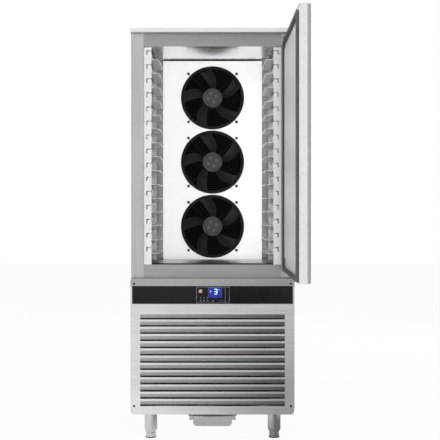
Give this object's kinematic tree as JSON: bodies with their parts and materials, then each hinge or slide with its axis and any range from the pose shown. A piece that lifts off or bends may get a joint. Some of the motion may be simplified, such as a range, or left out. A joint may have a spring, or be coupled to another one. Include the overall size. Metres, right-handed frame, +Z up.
{
  "type": "blast chiller",
  "caption": "Upright reach-in blast chiller with one hinged door, tray runners, rear evaporator fans and a louvred machine compartment on adjustable feet.",
  "frame": {"origin": "bottom centre of the whole machine with its door standing open at a right angle: on the floor, midway between the two sides, and midway between the open door's free edge and the rear sheet", "axes": "+Z up, -Y the front that the user faces, +X the user's right, where the door is hinged"},
  "size_m": [0.786, 1.53, 1.968],
  "materials": {
    "stainless_side": "satin",
    "stainless_front": "satin",
    "stainless_liner": "satin",
    "stainless_rack": "satin",
    "stainless_leg": "satin",
    "panel_white": "satin",
    "foam": "matte",
    "black_rubber_strip": "matte",
    "guard_black": "satin",
    "motor_grey": "matte",
    "impeller_black": "matte",
    "fin_aluminium": "satin",
    "gasket_grey": "matte",
    "handle_grey": "satin",
    "fascia_black": "gloss",
    "display_blue": "gloss",
    "key_beige": "matte",
    "key_grey": "matte",
    "zinc_sheet": "satin",
    "rail_grey": "satin",
    "tray_plastic": "matte",
    "compressor_black": "satin",
    "copper": "satin"
  },
  "bodies": {
    "cabinet": {"casing_left": "stainless_side", "casing_right": "stainless_side", "casing_back": "stainless_side", "top_cover": "stainless_front", "body_top": "stainless_side", "body_deck": "stainless_side", "cabinet_insulation": "foam", "liner_left": "stainless_liner", "liner_right": "stainless_liner", "liner_back": "stainless_liner", "liner_ceiling": "stainless_liner", "liner_floor": "stainless_liner", "threshold_strip": "black_rubber_strip", "rack_left": "stainless_rack", "rack_right": "stainless_rack", "fan_panel": "panel_white", "evaporator_coil": "fin_aluminium", "hinge_top": "stainless_side", "hinge_bottom": "stainless_side", "front_panel": "stainless_front", "control_fascia": "fascia_black", "display_window": "display_blue", "base_frame": "zinc_sheet", "tray_carrier": "rail_grey", "condenser_coil": "fin_aluminium", "condenser_shroud": "zinc_sheet", "condenser_motor": "motor_grey", "compressor": "compressor_black", "liquid_receiver": "compressor_black", "electrical_box": "zinc_sheet", "discharge_pipe": "copper", "rear_grille": "stainless_side", "fan_guard_top": "guard_black", "fan_motor_top": "motor_grey", "fan_guard_middle": "guard_black", "fan_motor_middle": "motor_grey", "fan_guard_bottom": "guard_black", "fan_motor_bottom": "motor_grey", "leg_sleeve_front_left": "stainless_leg", "leg_sleeve_front_right": "stainless_leg", "leg_sleeve_rear_left": "stainless_leg", "leg_sleeve_rear_right": "stainless_leg"},
    "door": {"door_skin": "stainless_front", "door_core": "foam", "door_liner": "stainless_liner", "door_gasket": "gasket_grey", "door_handle": "handle_grey"},
    "fan_top": {"fan_impeller_top": "impeller_black"},
    "fan_middle": {"fan_impeller_middle": "impeller_black"},
    "fan_bottom": {"fan_impeller_bottom": "impeller_black"},
    "condenser_fan": {"condenser_impeller": "impeller_black"},
    "tray": {"drip_tray": "tray_plastic"},
    "foot_front_left": {"leg_foot_front_left": "stainless_leg"},
    "foot_front_right": {"leg_foot_front_right": "stainless_leg"},
    "foot_rear_left": {"leg_foot_rear_left": "stainless_leg"},
    "foot_rear_right": {"leg_foot_rear_right": "stainless_leg"},
    "power_key_button": {"power_key": "key_beige"},
    "key_left_button": {"key_left": "key_grey"},
    "key_middle_button": {"key_middle": "key_grey"},
    "key_right_button": {"key_right": "key_grey"}
  },
  "joints": [
    {"name": "door_swing", "type": "hinge", "parent": "cabinet", "child": "door", "pos_m": [0.366, -0.0105, 1.367], "axis": [0, 0, 1], "range_deg": [-90, 20]},
    {"name": "fan_top_spin", "type": "hinge", "parent": "cabinet", "child": "fan_top", "pos_m": [0, 0.5005, 1.6905], "axis": [0, 1, 0], "continuous": true},
    {"name": "fan_middle_spin", "type": "hinge", "parent": "cabinet", "child": "fan_middle", "pos_m": [0, 0.5005, 1.3525], "axis": [0, 1, 0], "continuous": true},
    {"name": "fan_bottom_spin", "type": "hinge", "parent": "cabinet", "child": "fan_bottom", "pos_m": [0, 0.5005, 1.0145], "axis": [0, 1, 0], "continuous": true},
    {"name": "condenser_fan_spin", "type": "hinge", "parent": "cabinet", "child": "condenser_fan", "pos_m": [0, 0.1393, 0.3833], "axis": [0, 1, 0], "continuous": true},
    {"name": "tray_slide", "type": "slide", "parent": "cabinet", "child": "tray", "axis": [0, -1, 0], "range_m": [0, 0.28]},
    {"name": "foot_front_left_adjust", "type": "slide", "parent": "cabinet", "child": "foot_front_left", "axis": [0, 0, -1], "range_m": [0, 0.03]},
    {"name": "foot_front_right_adjust", "type": "slide", "parent": "cabinet", "child": "foot_front_right", "axis": [0, 0, -1], "range_m": [0, 0.03]},
    {"name": "foot_rear_left_adjust", "type": "slide", "parent": "cabinet", "child": "foot_rear_left", "axis": [0, 0, -1], "range_m": [0, 0.03]},
    {"name": "foot_rear_right_adjust", "type": "slide", "parent": "cabinet", "child": "foot_rear_right", "axis": [0, 0, -1], "range_m": [0, 0.03]},
    {"name": "power_key_press", "type": "slide", "parent": "cabinet", "child": "power_key_button", "axis": [0, 1, 0], "range_m": [0, 0.0006], "stiffness_N_per_m": 600},
    {"name": "key_left_press", "type": "slide", "parent": "cabinet", "child": "key_left_button", "axis": [0, 1, 0], "range_m": [0, 0.0006], "stiffness_N_per_m": 600},
    {"name": "key_middle_press", "type": "slide", "parent": "cabinet", "child": "key_middle_button", "axis": [0, 1, 0], "range_m": [0, 0.0006], "stiffness_N_per_m": 600},
    {"name": "key_right_press", "type": "slide", "parent": "cabinet", "child": "key_right_button", "axis": [0, 1, 0], "range_m": [0, 0.0006], "stiffness_N_per_m": 600}
  ]
}
